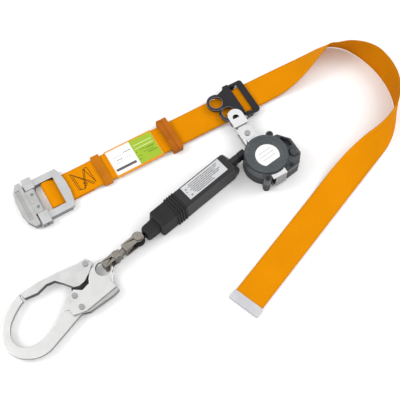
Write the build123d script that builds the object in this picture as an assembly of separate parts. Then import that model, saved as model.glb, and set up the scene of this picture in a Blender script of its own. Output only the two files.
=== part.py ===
from build123d import *
import math
import os

# Waist-belt fall-arrest set, laid out flat on a table: a 50 mm body belt with its lever buckle,
# a double-eye D-ring plate, a webbing reel hanging from it by a connector, and the reel's line with
# its shock absorber, swivel and large double-action hook. Millimetres, +Z up, table at z = 0.
# Layout frame: X runs along the belt's straight half, from the buckle to the D-ring plate.

# ---- driving dimensions ----
FIT = 0.05                      # radial running clearance of pins and shafts
PRESS = 0.02                    # radial room round pins that don't turn in the piece
GAP = 0.3                       # clearance between neighbouring pieces

BELT_W = 50.0
BELT_T = 2.6
BELT_Z = 3.4                    # underside of the belt where it rides over the fittings
TAIL_Z = 1.0                    # underside of the belt where it lies on the table
CROSSBAR_X, CROSSBAR_Z, CROSSBAR_R = -207.0, 5.9, 2.2
LEVER_X, LEVER_Z = -229.0, 9.0  # axis of the buckle's lever
LEVER_PIN_R = 2.4
FOLD_END_X = -138.0             # end of the belt's stitched return
BELT_JOIN_X = -186.0            # where the fold meets the main belt
TURN_X = 318.0                  # where the belt starts to turn back
TURN_ARCS = ((60.0, 65.0), (160.0, 35.0), (130.0, 58.0))    # (radius, degrees) along the outer edge
TAIL_LENGTH = 353.0             # straight run from the turn to the tip

KEEPER_1_X = (-121.0, -106.0)
KEEPER_2_X = (4.0, 23.0)
SLEEVE_X = (-97.0, -10.0)
LABEL_SPLIT_X = -52.0

EYE_R, EYE_OUTER_R = 10.8, 16.0
SPARE_EYE = (110.0, 12.0)
LINKED_EYE = (119.0, -15.0)
EYE_Z = (10.5, 14.5)
BAR_Z = (6.4, 10.3)             # bars of the D-ring plate that lie over the belt

CONNECTOR_X = 124.5
HANGER_Y = -66.0                # rivet between connector and reel bracket

REEL = (124.0, -123.0)
REEL_R = 36.0
REEL_SPLIT_Z = 20.0             # where the two housing halves meet
HOUSING_TOP_Z = 36.6
HOUSING_BORE_R = 33.4
LUGS = ((148.0, -94.0), (104.0, -160.0))    # screw lugs beside the drum case
LUG_R = 6.0
LOCK_SCREW = (152.0, -156.0)
LOCK_CASE_Z = 30.0
FRAME_X = (111.5, 137.5)        # steel load frame round the drum
FRAME_PLATES = ((10.2, 12.2), (33.2, 35.0))
BRACKET_Z = (6.6, 18.2)
FRONT_Y, BACK_Y = -84.0, -166.0
SHAFT_R, BUSH_R = 5.0, 7.0
PAWL_PIN_R = 1.5
PAWL_REACH = 18.0               # pawl pivots from the drum's axis
ROLL_R, HUB_R = 29.6, 12.5
WEBBING_W, WEBBING_T = 15.0, 1.7
WEBBING_Z = 14.2
TEETH = 12

HOOK_EYE = (-190.0, -155.0)     # origin of the lanyard frame
LANYARD_ANGLE = 12.0            # the lanyard's direction from X
STEM_Z = 12.5                   # height of the swivel's axis
STEM_R = 4.0
ARM_T, FORK_H, FORK_W = 2.5, 24.0, 13.0     # the swivel's U-shaped yoke
FORK_Z0 = STEM_Z - FORK_H / 2
YOKE_PIN_R, SHACKLE_PIN_R = 3.5, 3.2
ABSORBER_V = -1.0               # the absorber's middle, across the lanyard
PIN_1_U, PIN_2_U = 72.0, 27.0
HOOK_EYE_R = 11.3
CORE_Z = (5.0, 12.0)            # forged hook body
RIVET_R, RIVET_HEAD_R = 2.8, 4.6
GATE_PIVOT = (-15.0, 23.0)
LEVER_PIVOT = (-62.0, -28.0)
COVER_RIVET = (-59.0, -7.0)

parts = {}


# ---- helpers ----
def block(x0, x1, y0, y1, z0, z1):
    """A box between two corners."""
    centre = Pos((x0 + x1) / 2, (y0 + y1) / 2, (z0 + z1) / 2)
    return centre * Box(abs(x1 - x0), abs(y1 - y0), z1 - z0)


def rod(x, y, z0, z1, r):
    """An upright cylinder."""
    return Pos(x, y, (z0 + z1) / 2) * Cylinder(r, z1 - z0)


def rod_y(x, z, y0, y1, r):
    """A cylinder along Y."""
    return Pos(x, (y0 + y1) / 2, z) * Rot(90, 0, 0) * Cylinder(r, y1 - y0)


def rod_x(y, z, x0, x1, r):
    """A cylinder along X."""
    return Pos((x0 + x1) / 2, y, z) * Rot(0, 90, 0) * Cylinder(r, x1 - x0)


def prism(points, z0, z1, radius=0.0):
    """An upright prism over a polygon, its upright edges rounded."""
    solid = Pos(0, 0, z0) * extrude(make_face(Polyline(*points, close=True)), z1 - z0)
    if radius:
        solid = fillet(solid.edges().filter_by(Axis.Z), radius)
    return solid


def slab_y(points, y0, y1):
    """A prism along Y over an outline in the X-Z plane."""
    face = make_face(Polyline(*[(x, y0, z) for x, z in points], close=True))
    return extrude(face, y1 - y0, dir=(0, 1, 0))


def rounded_box(x0, x1, y0, y1, z0, z1, radius):
    """A box with its upright edges rounded."""
    return fillet(block(x0, x1, y0, y1, z0, z1).edges().filter_by(Axis.Z), radius)


def lanyard(shape):
    """Places a shape modelled along the lanyard, its origin at the hook's eye."""
    return Pos(HOOK_EYE[0], HOOK_EYE[1], 0) * Rot(0, 0, LANYARD_ANGLE) * shape


def to_lanyard(x, y):
    """A layout point in the lanyard frame."""
    a = math.radians(LANYARD_ANGLE)
    dx, dy = x - HOOK_EYE[0], y - HOOK_EYE[1]
    return dx * math.cos(a) + dy * math.sin(a), -dx * math.sin(a) + dy * math.cos(a)


REEL_U, REEL_V = to_lanyard(*REEL)
STRAP_V = (REEL_V + ROLL_R + GAP, REEL_V + ROLL_R + GAP + WEBBING_T)
GUIDE_U = REEL_U - 34.0         # mouth of the webbing guide
NOSE_T = 3.4                    # wall beside the strap in the guide and the absorber's nose


# ---- belt ----
def turn_stations():
    """(outer edge x, y, heading in degrees) along the belt's turn and tail."""
    x, y, heading = TURN_X, BELT_W / 2, 0.0
    stations = [(200.0, y, heading), (240.0, y, heading), (280.0, y, heading), (x, y, heading)]
    for radius, sweep in TURN_ARCS:
        steps = max(3, round(sweep / 9))
        for _ in range(steps):
            step = math.radians(sweep / steps)
            middle = math.radians(heading) - step / 2
            chord = 2 * radius * math.sin(step / 2)
            x, y = x + chord * math.cos(middle), y + chord * math.sin(middle)
            heading -= sweep / steps
            stations.append((x, y, heading))
    for run in (40.0, 90.0, 140.0, TAIL_LENGTH):
        way = math.radians(heading)
        stations.append((x + run * math.cos(way), y + run * math.sin(way), heading))
    return stations


def smooth(t):
    """Eases from 0 to 1."""
    t = min(max(t, 0.0), 1.0)
    return t * t * (3 - 2 * t)


def belt_tilt(travelled):
    """How far the belt is turned up onto its outer edge, along the turn: it stands, leans outwards a
    little at the bend's far side, and lies down again."""
    rise = 63.0 * smooth(travelled / 150) + 37.0 * smooth((travelled - 150) / 90)
    fall = smooth((travelled - 255) / 310)
    return math.radians(rise * (1 - fall))


def belt_sections():
    """Cross-sections of the belt from the D-ring plate round to the tip."""
    stations = turn_stations()
    travelled, last, sections = 0.0, stations[0], []
    for x, y, heading in stations:
        travelled += math.dist((x, y), last[:2])
        last = (x, y)
        tilt = belt_tilt(travelled)
        drop = smooth(travelled / 90)
        edge_z = (BELT_Z * (1 - drop) + TAIL_Z * drop) + BELT_T / 2 * math.cos(tilt)
        way = math.radians(heading)
        inward = Vector(math.sin(way), -math.cos(way), 0)
        across = inward * math.cos(tilt) + Vector(0, 0, 1) * math.sin(tilt)
        centre = Vector(x, y, edge_z) + across * (BELT_W / 2)
        plane = Plane(origin=centre, x_dir=across, z_dir=(math.cos(way), math.sin(way), 0))
        sections.append(plane * Rectangle(BELT_W, BELT_T))
    return sections


def make_belt():
    top, half = BELT_Z + BELT_T, BELT_W / 2
    straight = block(BELT_JOIN_X, 200.0, -half, half, BELT_Z, top)
    parts["belt_webbing"] = straight + loft(belt_sections(), ruled=True)
    inner, outer = CROSSBAR_R + 0.5, CROSSBAR_R + 0.5 + BELT_T
    low, high = CROSSBAR_Z - outer, CROSSBAR_Z + outer
    lead = BELT_JOIN_X - 4.0
    outline = [
        Line((FOLD_END_X, low), (CROSSBAR_X, low)),
        ThreePointArc((CROSSBAR_X, low), (CROSSBAR_X - outer, CROSSBAR_Z), (CROSSBAR_X, high)),
        Line((CROSSBAR_X, high), (CROSSBAR_X + 3, high)),
        Line((CROSSBAR_X + 3, high), (lead + 1, top)),
        Line((lead + 1, top), (BELT_JOIN_X, top)),
        Line((BELT_JOIN_X, top), (BELT_JOIN_X, BELT_Z)),
        Line((BELT_JOIN_X, BELT_Z), (lead, BELT_Z)),
        Line((lead, BELT_Z), (CROSSBAR_X + 2, CROSSBAR_Z + inner)),
        Line((CROSSBAR_X + 2, CROSSBAR_Z + inner), (CROSSBAR_X, CROSSBAR_Z + inner)),
        ThreePointArc((CROSSBAR_X, CROSSBAR_Z + inner), (CROSSBAR_X - inner, CROSSBAR_Z),
                      (CROSSBAR_X, CROSSBAR_Z - inner)),
        Line((CROSSBAR_X, CROSSBAR_Z - inner), (FOLD_END_X, CROSSBAR_Z - inner)),
        Line((FOLD_END_X, CROSSBAR_Z - inner), (FOLD_END_X, low)),
    ]
    profile = Plane.XZ * make_face(Curve() + outline)
    parts["belt_fold"] = extrude(profile, half, both=True)


def make_belt_tip():
    """The folded metal end clip, in the frame of the tail's end."""
    x, y, heading = turn_stations()[-1]
    end = Pos(x, y, 0) * Rot(0, 0, heading)
    clip = block(-13, 3, -51.5, 1.5, 0.0, TAIL_Z + BELT_T + 1.0)
    clip = fillet(clip.edges().filter_by(Axis.Z), 1.2)
    clip -= block(-14, 0.3, -50.15, 0.15, TAIL_Z - 0.1, TAIL_Z + BELT_T + 0.1)
    parts["belt_tip"] = end * clip


def make_keepers():
    top = BELT_Z + BELT_T
    x0, x1 = KEEPER_1_X
    band = rounded_box(x0, x1, -28.5, 28.5, 1.2, top + 2.2, 1.5)
    parts["keeper_1"] = band - block(x0 - 1, x1 + 1, -25.6, 25.6, BELT_Z - GAP, top + GAP)
    x0, x1 = KEEPER_2_X
    band = rounded_box(x0, x1, -32.0, 32.0, 0.6, top + 6.4, 2.5)
    band -= block(x0 - 1, x1 + 1, -25.6, 25.6, BELT_Z - GAP, top + 3.4)
    groove_x = (x0 + x1) / 2
    band -= block(groove_x - 1.5, groove_x + 1.5, -33, 33, top + 5.4, top + 7)
    parts["keeper_2"] = band


def make_label_sleeve():
    x0, x1 = SLEEVE_X
    top = BELT_Z + BELT_T
    sleeve = rounded_box(x0, x1, -26.1, 26.1, BELT_Z - 0.8, top + 0.8, 0.8)
    parts["label_sleeve"] = sleeve - block(x0 - 1, x1 + 1, -25.3, 25.3, BELT_Z - 0.1, top + 0.1)
    for name, a, b in (("label_white", x0 + 2, LABEL_SPLIT_X), ("label_green", LABEL_SPLIT_X, x1 - 2)):
        parts[name] = block(a, b, -23.5, 23.5, top + 0.8, top + 1.1)


# ---- buckle ----
def make_buckle():
    rails = None
    for side in (1, -1):
        rail = block(-222, -183.5, 26 * side, 38 * side, 0.5, 10.4)
        ear = block(-237.5, -221.5, 22.5 * side, 44 * side, 0.5, 13.0)
        piece = rail + ear
        rails = piece if rails is None else rails + piece
    bow = [(-189, -38), (-180, -38), (-176, -27), (-173.6, -10), (-173.6, 10), (-176, 27),
           (-180, 38), (-189, 38)]
    frame = rails + prism(bow, 6.6, 10.4, 3.0) + block(-189, -183.5, -37, 37, 6.6, 10.4)
    frame += block(-237.5, -222, -26, 26, 0.5, 1.9)
    frame -= rod_y(CROSSBAR_X, CROSSBAR_Z, -34, 34, CROSSBAR_R + PRESS)
    frame -= rod_y(LEVER_X, LEVER_Z, -45, 45, LEVER_PIN_R + PRESS)
    parts["buckle_frame"] = frame
    parts["buckle_crossbar"] = rod_y(CROSSBAR_X, CROSSBAR_Z, -33.5, 33.5, CROSSBAR_R)
    parts["lever_pin"] = rod_y(LEVER_X, LEVER_Z, -43.5, 43.5, LEVER_PIN_R)
    cam = slab_y([(-239, 12.6), (-226, 12.6), (-223.6, 11), (-223.2, 7), (-226, 4.2), (-239, 6)],
                 -21.8, 21.8)
    handle_plan = [(-240, 41), (-248.5, 41), (-256.5, 28), (-260, 10), (-260, -10), (-256.5, -28),
                   (-248.5, -41), (-240, -41)]
    handle = prism(handle_plan, 3.0, 14.0, 1.8)
    handle += block(-241, -238, -21.8, 21.8, 6, 12.6)
    for y in (-12, 12):
        cam -= rod(-231, y, 11.4, 14, 2.8)
    handle -= block(-253, -245.5, -29, 29, 12.8, 15)
    lever = cam + handle - rod_y(LEVER_X, LEVER_Z, -45, 45, LEVER_PIN_R + FIT)
    parts["buckle_lever"] = lever


# ---- D-ring plate and connector ----
def make_d_ring_plate():
    low, high = BAR_Z
    plate = rounded_box(138, 171, -34, 34, 0.5, high, 5.0) - block(137, 160, -29, 29, 0, high + 1)
    plate -= block(157, 172, -35, 35, 0, low) + block(137, 143, -35, 35, 0, high + 1)
    plate -= block(142, 146, -35, -28, 0, high + 1)
    plate += block(147, 154, -34, 34, 0.5, BELT_Z - GAP)
    plate += rounded_box(134, 145, -27.5, 34, low, EYE_Z[1], 2.0)
    plate += block(146, 150, -34, -26, 0.5, high) + block(143, 147, -29.3, -26, 0.5, high)
    web = prism([(136, 30), (119, 24), (106, 0), (116, -27), (136, -25)], *EYE_Z)
    eyes = rod(*SPARE_EYE, *EYE_Z, EYE_OUTER_R) + rod(*LINKED_EYE, *EYE_Z, EYE_OUTER_R)
    plate += web + eyes
    for x, y in (SPARE_EYE, LINKED_EYE):
        plate -= rod(x, y, EYE_Z[0] - 1, EYE_Z[1] + 1, EYE_R)
    parts["d_ring_plate"] = plate


def make_connector():
    x = CONNECTOR_X
    leaf = rod(x, -28, 15.4, 18.4, 13.2) + block(x - 13.2, x + 13.2, -47.5, -28, 15.4, 18.4)
    leaf -= rod(x - 1.0, -31, 15, 19, 5.6) - block(x - 10, x + 10, -40, -32.5, 14, 20)
    leg = block(x - 9.5, x + 1.5, -20.2, -16.6, 7.0, 16)
    lower = block(x - 9.5, x + 1.5, -41, -16.6, 7.0, 9.8)
    step = block(x - 10, x + 10, -47.5, -44.5, 9.8, 18.4)
    tongue = block(x - 8, x + 8, -67, -44.5, 9.8, 15.0) + rod(x, HANGER_Y, 9.8, 15.0, 8.0)
    body = leaf + leg + lower + step + tongue
    for side in (1, -1):
        body += block(x + 10.2 * side, x + 13.2 * side, -40.5, -33.2, 8.4, 15.6)
    body -= rod_x(-36.6, 12.6, x - 15, x + 15, 2.22)
    body -= rod(x, HANGER_Y, 9, 16, 3 + FIT)
    parts["connector_hook"] = body
    bolt = rod_x(-36.6, 12.6, x - 14.5, x + 13.2, 2.2) + rod_x(-36.6, 12.6, x + 13.2, x + 17.4, 4.2)
    bolt -= block(x + 16.4, x + 18, -37.2, -36.0, 8, 17)
    parts["connector_bolt"] = bolt


# ---- reel ----
def outer_shell(z0, z1):
    """The housing's outline between two heights: the drum case, the two screw lugs and the lock case."""
    x, y = REEL
    shell = rod(x, y, z0, z1, REEL_R)
    for lug_x, lug_y in LUGS:
        reach = Vector(lug_x - x, lug_y - y, 0)
        side = Vector(-reach.Y, reach.X, 0).normalized() * LUG_R
        foot = [(x + side.X, y + side.Y), (x - side.X, y - side.Y),
                (lug_x - side.X, lug_y - side.Y), (lug_x + side.X, lug_y + side.Y)]
        shell += prism(foot, z0, z1) + rod(lug_x, lug_y, z0, z1, LUG_R)
    if z0 < LOCK_CASE_Z:
        case = [(140, -95), (161, -97.5), (176, -115), (176.5, -145), (165, -159), (140, -163)]
        shell += prism(case, z0, min(z1, LOCK_CASE_Z), 3.0)
    return shell


def frame_solids(grow=0.0):
    """The steel load frame, or the room that it needs when grown."""
    x0, x1 = FRAME_X
    solid = None
    for z0, z1 in FRAME_PLATES:
        plate = block(x0 - grow, x1 + grow, BACK_Y - grow, FRONT_Y + grow, z0 - grow, z1 + grow)
        solid = plate if solid is None else solid + plate
    solid += block(x0 - grow, x1 + grow, FRONT_Y - 2.2 - grow, FRONT_Y + grow,
                   BRACKET_Z[0] - grow, FRAME_PLATES[1][1] + grow)
    solid += block(x0 + 5 - grow, x1 + grow, BACK_Y - grow, BACK_Y + 2.2 + grow,
                   3.5 - grow, FRAME_PLATES[1][1] + grow)
    return solid


def make_load_frame():
    x, y = REEL
    x0, x1 = FRAME_X
    frame = frame_solids()
    low, high = BRACKET_Z
    front = HANGER_Y + 13.0
    for z0, z1 in ((low, low + 2.4), (high - 2.4, high)):
        frame += block(x0, x1, FRONT_Y - 2.2, front, z0, z1)
    for side_x in (x0, x1 - 1.8):
        frame += block(side_x, side_x + 1.8, FRONT_Y - 2.2, front - 4, low, high)
    frame -= rod(CONNECTOR_X, HANGER_Y, low - 1, high + 1, 3.02)
    frame -= block(x0 + 4.5, x1 - 4.5, -80.5, -76.5, high - 3, high + 1)
    frame -= rod(x, y, FRAME_PLATES[0][0] - 1, FRAME_PLATES[0][1] + 1, 10.0)
    frame -= rod(x, y, FRAME_PLATES[1][0] - 1, FRAME_PLATES[1][1] + 1, SHAFT_R + PRESS)
    parts["load_frame"] = frame
    rivet = rod(CONNECTOR_X, HANGER_Y, low - 1.4, high, 3.0)
    rivet += rod(CONNECTOR_X, HANGER_Y, high, high + 1.3, 5.0)
    rivet += rod(CONNECTOR_X, HANGER_Y, low - 1.6, low, 5.0)
    parts["hanger_rivet"] = rivet


def make_housings():
    x, y = REEL
    strap_slot = lanyard(block(REEL_U - 60, REEL_U, STRAP_V[0] - 1.2, STRAP_V[1] + 1.0,
                               WEBBING_Z - 1.0, WEBBING_Z + WEBBING_W + 1.0))
    room = frame_solids(GAP)
    rear = outer_shell(0.0, REEL_SPLIT_Z - 0.1)
    rear -= rod(x, y, 2.2, REEL_SPLIT_Z, HOUSING_BORE_R)
    rear -= prism([(150, -101), (160, -104), (171, -117), (171, -143), (163, -154), (146, -158)],
                  2.2, REEL_SPLIT_Z)
    front = outer_shell(REEL_SPLIT_Z + 0.1, HOUSING_TOP_Z)
    front -= rod(x, y, REEL_SPLIT_Z, 35.3, HOUSING_BORE_R)
    pocket = [(161, -104.5), (164.5, -105), (172.3, -114.5), (172.3, -126), (163.5, -126)]
    front -= prism(pocket, 22.0, LOCK_CASE_Z + 1, 1.2)
    for groove_y in (-150.0, -146.0):
        front -= block(171.0, 180.0, groove_y, groove_y + 1.4, 5, 40)
        rear -= block(171.0, 180.0, groove_y, groove_y + 1.4, 5, 40)
    bosses = [*LUGS, LOCK_SCREW]
    rear += rod(*LOCK_SCREW, 0.0, REEL_SPLIT_Z - 0.1, 4.5)
    for bx, by in bosses:
        rear -= rod(bx, by, 5.0, REEL_SPLIT_Z + 1, 1.9)
        front -= rod(bx, by, REEL_SPLIT_Z - 1, 40, 2.1)
    rear = rear - room - strap_slot
    front = front - room - strap_slot
    front -= rod(x, y, 35.0, 37.0, 7.0)
    parts["rear_housing"] = rear
    parts["front_housing"] = front
    screws = None
    for bx, by in bosses:
        head_z = LOCK_CASE_Z if (bx, by) == LOCK_SCREW else HOUSING_TOP_Z
        screw = rod(bx, by, 6.0, head_z, 1.85) + rod(bx, by, head_z, head_z + 1.6, 3.4)
        screws = screw if screws is None else screws + screw
    parts["housing_screws"] = screws
    cover = rod(x, y, 36.7, 39.2, 34.3) - rod(x, y, 38.5, 40, 30.0) + rod(x, y, 38.0, 38.9, 25.5)
    cover = cover - rod(x, y, 36.5, 37.5, 7.0)
    parts["front_cover"] = cover
    disc = rod(x, y - 3, 38.95, 39.25, 19.6)
    chord = Pos(x, y - 3, 0) * Rot(0, 0, 8) * block(-25, 25, -30, -14, 38, 40)
    parts["reel_label"] = disc - chord
    bump = rod(167.4, -138.0, LOCK_CASE_Z + 0.05, LOCK_CASE_Z + 5.4, 8.6)
    parts["lock_cap"] = fillet(bump.edges().group_by(Axis.Z)[-1], 4.8)


def make_webbing_guide():
    outer = rounded_box(GUIDE_U, REEL_U - 20, STRAP_V[0] - NOSE_T, STRAP_V[1] + NOSE_T,
                        WEBBING_Z - 3.0, WEBBING_Z + WEBBING_W + 3.0, 1.2)
    slot = block(GUIDE_U - 1, REEL_U - 18, STRAP_V[0] - 0.8, STRAP_V[1] + 0.6,
                 WEBBING_Z - 0.6, WEBBING_Z + WEBBING_W + 0.6)
    shell = outer_shell(0.0, HOUSING_TOP_Z)
    parts["webbing_guide"] = lanyard(outer - slot) - shell


def make_drum():
    x, y = REEL
    shaft = rod(x, y, 10.6, 36.4, SHAFT_R)
    parts["shaft"] = shaft + rod(x, y, 35.1, 36.4, 6.5)
    bushes = None
    for z0, z1 in ((12.7, 17.0), (26.0, 30.4)):
        bush = rod(x, y, z0, z1, BUSH_R) - rod(x, y, z0 - 1, z1 + 1, SHAFT_R + FIT)
        bushes = bush if bushes is None else bushes + bush
    parts["drum_bushes"] = bushes
    hub = rod(x, y, 3.9, 29.4, 9.0) + rod(x, y, 12.6, 29.4, HUB_R) + rod(x, y, 12.6, 13.9, 31.5)
    hub -= rod(x, y, 10.2, 31, BUSH_R + PRESS)
    hub -= block(x - 0.4, x + 0.4, y, y + 10, 3.0, 9.6)
    parts["drum"] = hub
    flange = rod(x, y, 29.5, 30.7, 31.5) - rod(x, y, 29, 31, BUSH_R + PRESS)
    for pawl_x, pawl_y in pawl_pivots():
        flange -= rod(pawl_x, pawl_y, 29, 31, PAWL_PIN_R)
    parts["drum_flange"] = flange
    roll = rod(x, y, WEBBING_Z, WEBBING_Z + WEBBING_W, ROLL_R)
    parts["webbing_roll"] = roll - rod(x, y, WEBBING_Z - 1, WEBBING_Z + WEBBING_W + 1, HUB_R)


def pawl_pivots():
    return [(REEL[0] + PAWL_REACH * s, REEL[1]) for s in (1, -1)]


def make_ratchet():
    x, y = REEL
    z0, z1 = 31.0, 33.0
    ring = rod(x, y, z0, z1, 33.0) - rod(x, y, z0 - 1, z1 + 1, 30.5)
    for n in range(TEETH):
        tooth = block(27.5, 31.0, -1.5, 1.5, z0, z1)
        ring += Pos(x, y, 0) * Rot(0, 0, 17 + n * 360 / TEETH) * tooth
    parts["ratchet_ring"] = ring
    shape = [(-3.4, -2), (3.0, -2.5), (3.2, 4), (3.0, 16), (-1.0, 16.6), (-3.2, 6)]
    for n, (px, py) in enumerate(pawl_pivots(), start=1):
        turn = Pos(px, py, 0) * Rot(0, 0, 180 * (n - 1))
        pawl = turn * prism(shape, 31.0, 32.8, 0.8)
        parts[f"pawl_{n}"] = pawl - rod(px, py, 30, 34, PAWL_PIN_R + FIT)
    pins = None
    for px, py in pawl_pivots():
        pin = rod(px, py, 29.5, 32.9, PAWL_PIN_R)
        pins = pin if pins is None else pins + pin
    parts["pawl_pins"] = pins


def make_power_spring():
    x, y = REEL
    case = rod(x, y, 2.4, 9.8, 24.0) - rod(x, y, 3.3, 9.9, 22.8)
    parts["spring_case"] = case
    turns, steps, strip = 5, 24, 0.45
    inner, pitch = 9.6, 2.5
    count = turns * steps
    edge = [(inner + pitch * n / steps, 360.0 * n / steps) for n in range(count + 1)]
    near = [polar(r, a) for r, a in edge]
    far = [polar(r + strip, a) for r, a in reversed(edge)]
    spiral = prism(near + far, 4.0, 9.4)
    parts["power_spring"] = Pos(x, y, 0) * spiral


def polar(r, degrees):
    return r * math.cos(math.radians(degrees)), r * math.sin(math.radians(degrees))


# ---- lifeline and shock absorber, along the lanyard ----
def sleeve_section(u, half_top, half_bottom, z0, z1):
    """A cross-section of the absorber's boot at a place along the lanyard."""
    v = ABSORBER_V
    plane = Plane(origin=(u, 0, 0), x_dir=(0, 1, 0), z_dir=(1, 0, 0))
    points = [(v - half_bottom, z0), (v + half_bottom, z0), (v + half_top, z1), (v - half_top, z1)]
    return plane * fillet(make_face(Polyline(*points, close=True)).vertices(), 3.0)


def boot(stations):
    return loft([sleeve_section(*s) for s in stations], ruled=True)


def make_absorber():
    body = boot([(158, 16.5, 20.5, 0.0, 35.5), (258, 16.5, 20.5, 0.0, 35.5),
                 (262, 15.5, 19.8, 0.0, 34.5), (264, 14.5, 19.0, 0.1, 31.0),
                 (271, 13.0, 17.5, 0.2, 17.0), (275.5, 11.5, 15.5, 0.4, 7.5)])
    nose_v0, nose_v1 = STRAP_V[0] - NOSE_T, STRAP_V[1] + NOSE_T
    body += rounded_box(256, GUIDE_U - 0.5, nose_v0, nose_v1, 10.5, 32.0, 2.0)
    hollow = boot([(157, 14.5, 17.5, 2.4, 33.3), (257, 14.5, 17.5, 2.4, 33.3)])
    slot = block(240, 280, STRAP_V[0] - 0.3, STRAP_V[1] + 0.3, WEBBING_Z - 0.3,
                 WEBBING_Z + WEBBING_W + 0.3)
    parts["absorber_cover"] = lanyard(body - hollow - slot)
    cap = boot([(107.8, 14.0, 17.5, 1.2, 33.6), (110, 15.8, 19.6, 0.4, 35.0),
                (157.8, 15.8, 19.6, 0.4, 35.0)])
    for n in range(4):
        u = 139.0 + 5.0 * n
        cap += boot([(u, 17.5, 21.5, 0.0, 36.4), (u + 2.4, 17.5, 21.5, 0.0, 36.4)])
    cap -= boot([(110.4, 13.5, 17.0, 2.8, 32.8), (158, 13.5, 17.0, 2.8, 32.8)])
    cap -= block(100, 112, ABSORBER_V - 4, ABSORBER_V + 6, 4.0, 21.0)
    parts["absorber_boot"] = lanyard(cap)
    pack = block(114, 238, ABSORBER_V - 11, ABSORBER_V + 11, 5.0, 31.0)
    parts["tear_webbing"] = lanyard(fillet(pack.edges().filter_by(Axis.Y), 4.0))
    label = block(171, 250, -12.0, 13.2, 35.5, 35.8)
    parts["absorber_label"] = lanyard(label)
    neck = boot([(84.5, 8.0, 9.0, 3.0, 22.5), (88, 9.6, 11.0, 2.6, 24.4), (107.6, 9.9, 11.4, 2.0, 26.0)])
    neck -= block(83, 109, -4.2, 2.2, 5.2, 19.8)
    parts["neck_boot"] = lanyard(neck)
    tape = block(79.0, 113.5, -3.9, 1.9, 5.5, 19.5)
    parts["end_loop"] = lanyard(tape - rod(PIN_1_U, 0, 5, 20, 9.0))
    thimble = rod(PIN_1_U, 0, 3.7, 21.3, 8.8) - rod(PIN_1_U, 0, 3, 22, YOKE_PIN_R + FIT)
    parts["end_thimble"] = lanyard(thimble)
    strap = block(238.5, REEL_U - 10, STRAP_V[0], STRAP_V[1], WEBBING_Z, WEBBING_Z + WEBBING_W)
    parts["lifeline_webbing"] = lanyard(strap)


# ---- swivel ----
def fork(base_u, wall_u, tip_u, z0, z1, width, tip_r, hole_r):
    """A U-shaped strap: an upright wall, two arms and a round boss at each arm's end."""
    shape = block(base_u, wall_u, -width / 2, width / 2, z0, z1)
    for low in (z0, z1 - ARM_T):
        shape += block(min(base_u, tip_u), max(wall_u, tip_u), -width / 2, width / 2, low, low + ARM_T)
        shape += rod(tip_u, 0, low, low + ARM_T, tip_r)
    return shape - rod(tip_u, 0, z0 - 1, z1 + 1, hole_r)


def make_swivel():
    top = FORK_Z0 + FORK_H
    yoke = fork(43.0, 46.0, PIN_1_U, FORK_Z0, top, FORK_W, 8.0, YOKE_PIN_R + PRESS)
    yoke -= rod_x(0, STEM_Z, 40, 50, STEM_R + FIT)
    parts["swivel_yoke"] = lanyard(yoke)
    pin = rod(PIN_1_U, 0, FORK_Z0, top, YOKE_PIN_R) + rod(PIN_1_U, 0, top, top + 2.0, 7.0)
    pin -= rod(PIN_1_U, 0, top + 1.0, top + 3, 1.6)
    parts["yoke_pin"] = lanyard(pin)
    stem = rod_x(0, STEM_Z, 33, 46.3, STEM_R) + rod_x(0, STEM_Z, 46.3, 50.3, 6.2)
    eye = block(PIN_2_U, 36.0, -6.5, 6.5, 4.3, 20.7) + rod(PIN_2_U, 0, 4.3, 20.7, 6.5)
    eye += rod_x(0, STEM_Z, 36.0, 42.6, 6.0)
    parts["swivel_stem"] = lanyard(stem + eye - rod(PIN_2_U, 0, 4, 21, SHACKLE_PIN_R + FIT))
    shackle = fork(2.8, 5.8, PIN_2_U, 1.0, 24.0, 12.0, 7.0, SHACKLE_PIN_R + PRESS)
    parts["hook_shackle"] = lanyard(shackle)
    pin = rod(PIN_2_U, 0, 1.0, 24.0, SHACKLE_PIN_R) + rod(PIN_2_U, 0, 24.0, 26.0, 6.4)
    parts["shackle_pin"] = lanyard(fillet(pin.edges().group_by(Axis.Z)[-1], 0.9))


# ---- hook ----
def hook_core():
    """The forged body: a large open bow from the nose round to the eye."""
    swing = math.hypot(-119 - GATE_PIVOT[0], 51 - GATE_PIVOT[1]) + 0.5
    outer = Spline((-117, 53), (-143, 45), (-170, 28), (-184, 3), (-180, -23), (-158, -43), (-128, -46.5))
    inner = Spline((-72, -3), (-92, -15), (-118, -25), (-148, -26), (-167, -13), (-168, 8), (-147, 29),
                   (-119, 40))
    edges = [
        outer,
        Line((-128, -46.5), (-66, -34.5)),
        Line((-66, -34.5), (-50, -29.5)),
        Line((-50, -29.5), (-2, -29.5)),
        Line((-2, -29.5), (8, -13)),
        Line((8, -13), (-8, 13)),
        Line((-8, 13), (-18, 12)),
        Line((-18, 12), (-32, -7)),
        Line((-32, -7), (-47, -9)),
        Line((-47, -9), (-58, 1)),
        Line((-58, 1), (-72, -3)),
        inner,
        Line((-119, 40), (-117, 53)),
    ]
    face = make_face(Curve() + edges)
    core = Pos(0, 0, CORE_Z[0]) * extrude(face, CORE_Z[1] - CORE_Z[0])
    core += rod(0, 0, *CORE_Z, 15.5) + rod(*GATE_PIVOT, *CORE_Z, 8.0)
    core -= rod(0, 0, 0, 20, HOOK_EYE_R) + rod(*GATE_PIVOT, 0, 20, RIVET_R + PRESS)
    core -= rod(*LEVER_PIVOT, 0, 20, RIVET_R + PRESS) + rod(*COVER_RIVET, 0, 20, RIVET_R + PRESS)
    sweep = rod(*GATE_PIVOT, 0, 20, swing) - rod(*GATE_PIVOT, -1, 21, swing - 30)
    return core - (sweep & block(-140, -100, 30, 60, 0, 20))


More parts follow.
